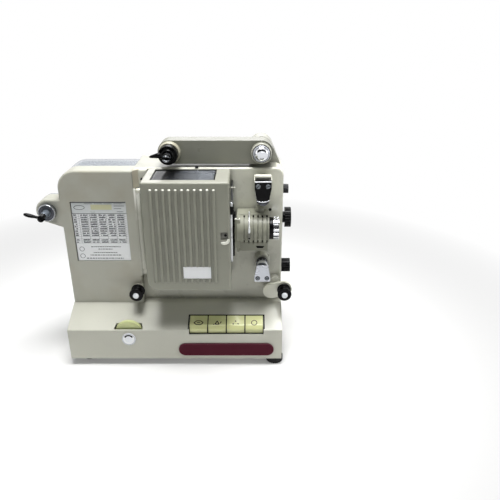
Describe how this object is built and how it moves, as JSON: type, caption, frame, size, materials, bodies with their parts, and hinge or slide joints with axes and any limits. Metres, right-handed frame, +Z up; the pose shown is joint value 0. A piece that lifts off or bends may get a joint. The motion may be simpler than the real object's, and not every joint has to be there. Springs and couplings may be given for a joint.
{
  "type": "movie projector",
  "caption": "Table-top film projector with keys in a sloping base, ribbed lamp house door, swing-out lens mount, folding supply arm and take-up spindle.",
  "frame": {"origin": "on the table, under the middle of the whole object", "axes": "+X to the right along the front, +Y away from the viewer, +Z up"},
  "size_m": [0.2938, 0.1114, 0.2583],
  "materials": {
    "cream_casting": "satin",
    "clear_plastic": "gloss",
    "vent_grey": "gloss",
    "plates": "satin",
    "maroon_plate": "satin",
    "rubber": "matte",
    "foot_black": "satin",
    "key_cream": "gloss",
    "wheel_green": "satin",
    "black_plastic": "satin",
    "grey_plastic": "satin",
    "chrome": "polished",
    "steel": "satin",
    "bright_alloy": "satin",
    "black_paint": "gloss",
    "fan_plastic": "matte",
    "core_steel": "matte",
    "bronze": "satin",
    "glass": "clear",
    "mirror": "polished"
  },
  "bodies": {
    "chassis": {"arm_pivot_stud": "chrome", "back_cover": "cream_casting", "base_plate": "steel", "base_shell": "cream_casting", "case_screws": "steel", "chart_plate": "plates", "condenser_lens": "glass", "gate_plate": "steel", "hinge_pins": "steel", "key_frame": "steel", "lamp_bulb": "glass", "lamp_frame": "steel", "lamp_reflector": "mirror", "left_panel": "cream_casting", "left_rear_cover": "clear_plastic", "left_roller_post": "cream_casting", "main_casting": "cream_casting", "mains_inlet": "foot_black", "motor": "black_paint", "nameplate": "maroon_plate", "rubber_feet": "rubber", "shaft_bushes": "bronze", "speed_mark_disc": "plates", "takeup_collar": "black_paint", "transformer": "core_steel"},
    "lamp_door": {"badge_plate": "plates", "lamp_house_door": "cream_casting", "vent_plate": "vent_grey"},
    "main_shaft": {"cooling_fan": "fan_plastic", "inching_knob": "black_plastic", "main_shaft": "steel", "shutter_disc": "black_paint"},
    "film_claw": {"film_claw": "steel"},
    "focus_ring": {"focus_ring": "chrome"},
    "framing_knob": {"framing_knob": "black_plastic"},
    "key_1": {"key_1": "key_cream"},
    "key_2": {"key_2": "key_cream"},
    "key_3": {"key_3": "key_cream"},
    "key_4": {"key_4": "key_cream"},
    "layshaft": {"layshaft": "steel"},
    "left_roller": {"left_roller": "black_plastic"},
    "lens_tube": {"lens_glass": "glass", "lens_tube": "black_paint"},
    "lens_mount": {"lens_mount": "cream_casting", "pressure_plate": "steel"},
    "lower_keeper": {"lower_keeper": "bright_alloy"},
    "lower_sprocket": {"lower_sprocket": "bright_alloy"},
    "mount_lever": {"mount_lever": "chrome"},
    "right_roller": {"right_roller": "black_plastic"},
    "roller_arm": {"roller_arm": "cream_casting"},
    "small_knob": {"small_knob": "grey_plastic"},
    "speed_wheel": {"speed_wheel": "wheel_green"},
    "supply_arm": {"supply_arm": "cream_casting"},
    "supply_latch": {"supply_latch": "black_plastic"},
    "supply_spindle": {"supply_spindle": "chrome"},
    "takeup_latch": {"takeup_latch": "black_plastic"},
    "takeup_spindle": {"takeup_spindle": "chrome"},
    "tilt_foot": {"tilt_foot": "foot_black"},
    "upper_keeper": {"upper_keeper": "black_paint"},
    "upper_sprocket": {"upper_sprocket": "bright_alloy"}
  },
  "joints": [
    {"name": "door_swing", "type": "hinge", "parent": "chassis", "child": "lamp_door", "pos_m": [-0.02678, -0.00792, 0.1562], "axis": [0, 0, -1], "range_deg": [0, 95]},
    {"name": "lens_mount_swing", "type": "hinge", "parent": "chassis", "child": "lens_mount", "pos_m": [0.10822, -0.01192, 0.1657], "axis": [0, 0, 1], "range_deg": [0, 15]},
    {"name": "mount_lever_pull", "type": "hinge", "parent": "lens_mount", "child": "mount_lever", "pos_m": [0.09632, -0.03776, 0.15781], "axis": [1, 0, 0], "range_deg": [0, 20]},
    {"name": "lens_travel", "type": "slide", "parent": "lens_mount", "child": "lens_tube", "axis": [1, 0, 0], "range_m": [0, 0.008]},
    {"name": "focus_turn", "type": "hinge", "parent": "lens_tube", "child": "focus_ring", "pos_m": [0.12472, -0.02293, 0.1657], "axis": [1, 0, 0], "range_deg": [0, 360]},
    {"name": "supply_arm_swing", "type": "hinge", "parent": "chassis", "child": "supply_arm", "pos_m": [0.10972, 0.01607, 0.2453], "axis": [0, 1, 0], "range_deg": [0, 130]},
    {"name": "supply_spindle_turn", "type": "hinge", "parent": "supply_arm", "child": "supply_spindle", "pos_m": [0.00892, -0.00792, 0.2453], "axis": [0, 1, 0], "continuous": true},
    {"name": "supply_latch_fold", "type": "hinge", "parent": "supply_spindle", "child": "supply_latch", "pos_m": [0.00892, -0.02193, 0.2453], "axis": [0.0872, 0, 0.9962], "range_deg": [0, 90]},
    {"name": "takeup_spindle_turn", "type": "hinge", "parent": "chassis", "child": "takeup_spindle", "pos_m": [-0.12928, -0.00293, 0.1814], "axis": [0, 1, 0], "continuous": true},
    {"name": "takeup_latch_fold", "type": "hinge", "parent": "takeup_spindle", "child": "takeup_latch", "pos_m": [-0.12928, -0.03193, 0.1814], "axis": [0.342, 0, 0.9397], "range_deg": [0, 90]},
    {"name": "main_shaft_turn", "type": "hinge", "parent": "chassis", "child": "main_shaft", "pos_m": [0.00972, 0.01008, 0.1667], "axis": [1, 0, 0], "continuous": true},
    {"name": "layshaft_turn", "type": "hinge", "parent": "chassis", "child": "layshaft", "pos_m": [0.09922, 0.02208, 0.1667], "axis": [0, 0, 1], "continuous": true},
    {"name": "upper_sprocket_turn", "type": "hinge", "parent": "chassis", "child": "upper_sprocket", "pos_m": [0.11122, 0.01008, 0.2003], "axis": [0, 1, 0], "continuous": true},
    {"name": "lower_sprocket_turn", "type": "hinge", "parent": "chassis", "child": "lower_sprocket", "pos_m": [0.11122, 0.01008, 0.12], "axis": [0, 1, 0], "continuous": true},
    {"name": "claw_stroke", "type": "slide", "parent": "chassis", "child": "film_claw", "axis": [0, 0, 1], "range_m": [-0.0038, 0]},
    {"name": "upper_keeper_swing", "type": "hinge", "parent": "chassis", "child": "upper_keeper", "pos_m": [0.11122, -0.02293, 0.2129], "axis": [0, 1, 0], "range_deg": [-30, 30]},
    {"name": "lower_keeper_swing", "type": "hinge", "parent": "chassis", "child": "lower_keeper", "pos_m": [0.11122, -0.02293, 0.1074], "axis": [0, 1, 0], "range_deg": [-30, 30]},
    {"name": "key_1_press", "type": "hinge", "parent": "chassis", "child": "key_1", "pos_m": [0.03689, -0.01792, 0.0507], "axis": [1, 0, 0], "range_deg": [0, 8], "stiffness_Nm_per_rad": 0.2, "springref_deg": -5.73},
    {"name": "key_2_press", "type": "hinge", "parent": "chassis", "child": "key_2", "pos_m": [0.05864, -0.01792, 0.0507], "axis": [1, 0, 0], "range_deg": [0, 8], "stiffness_Nm_per_rad": 0.2, "springref_deg": -5.73},
    {"name": "key_3_press", "type": "hinge", "parent": "chassis", "child": "key_3", "pos_m": [0.08039, -0.01792, 0.0507], "axis": [1, 0, 0], "range_deg": [0, 8], "stiffness_Nm_per_rad": 0.2, "springref_deg": -5.73},
    {"name": "key_4_press", "type": "hinge", "parent": "chassis", "child": "key_4", "pos_m": [0.10214, -0.01792, 0.0507], "axis": [1, 0, 0], "range_deg": [0, 8], "stiffness_Nm_per_rad": 0.2, "springref_deg": -5.73},
    {"name": "speed_wheel_turn", "type": "hinge", "parent": "chassis", "child": "speed_wheel", "pos_m": [-0.04458, -0.04253, 0.0411], "axis": [0, 1, 0], "range_deg": [-60, 60]},
    {"name": "tilt_foot_turn", "type": "hinge", "parent": "chassis", "child": "tilt_foot", "pos_m": [0.12672, -0.03592, 0.0087], "axis": [0, 0, 1], "range_deg": [0, 720]},
    {"name": "left_roller_turn", "type": "hinge", "parent": "chassis", "child": "left_roller", "pos_m": [-0.03548, -0.02293, 0.084], "axis": [0, 1, 0], "continuous": true},
    {"name": "roller_arm_swing", "type": "hinge", "parent": "chassis", "child": "roller_arm", "pos_m": [0.12222, -0.01392, 0.0819], "axis": [0, 1, 0], "range_deg": [-15, 10], "stiffness_Nm_per_rad": 0.3},
    {"name": "right_roller_turn", "type": "hinge", "parent": "roller_arm", "child": "right_roller", "pos_m": [0.13752, -0.02293, 0.0846], "axis": [0, 1, 0], "continuous": true},
    {"name": "small_knob_turn", "type": "hinge", "parent": "chassis", "child": "small_knob", "pos_m": [0.13472, 0.01008, 0.2014], "axis": [1, 0, 0], "range_deg": [-90, 90]},
    {"name": "framing_knob_turn", "type": "hinge", "parent": "chassis", "child": "framing_knob", "pos_m": [0.13472, 0.01008, 0.1047], "axis": [1, 0, 0], "range_deg": [-40, 40]}
  ],
  "couplings": [
    {"joint": "lens_travel", "follows": "focus_turn", "m_per_rad": 0.000954},
    {"joint": "layshaft_turn", "follows": "main_shaft_turn", "ratio": 0.25},
    {"joint": "upper_sprocket_turn", "follows": "main_shaft_turn", "ratio": 0.083333},
    {"joint": "lower_sprocket_turn", "follows": "main_shaft_turn", "ratio": 0.083333}
  ]
}
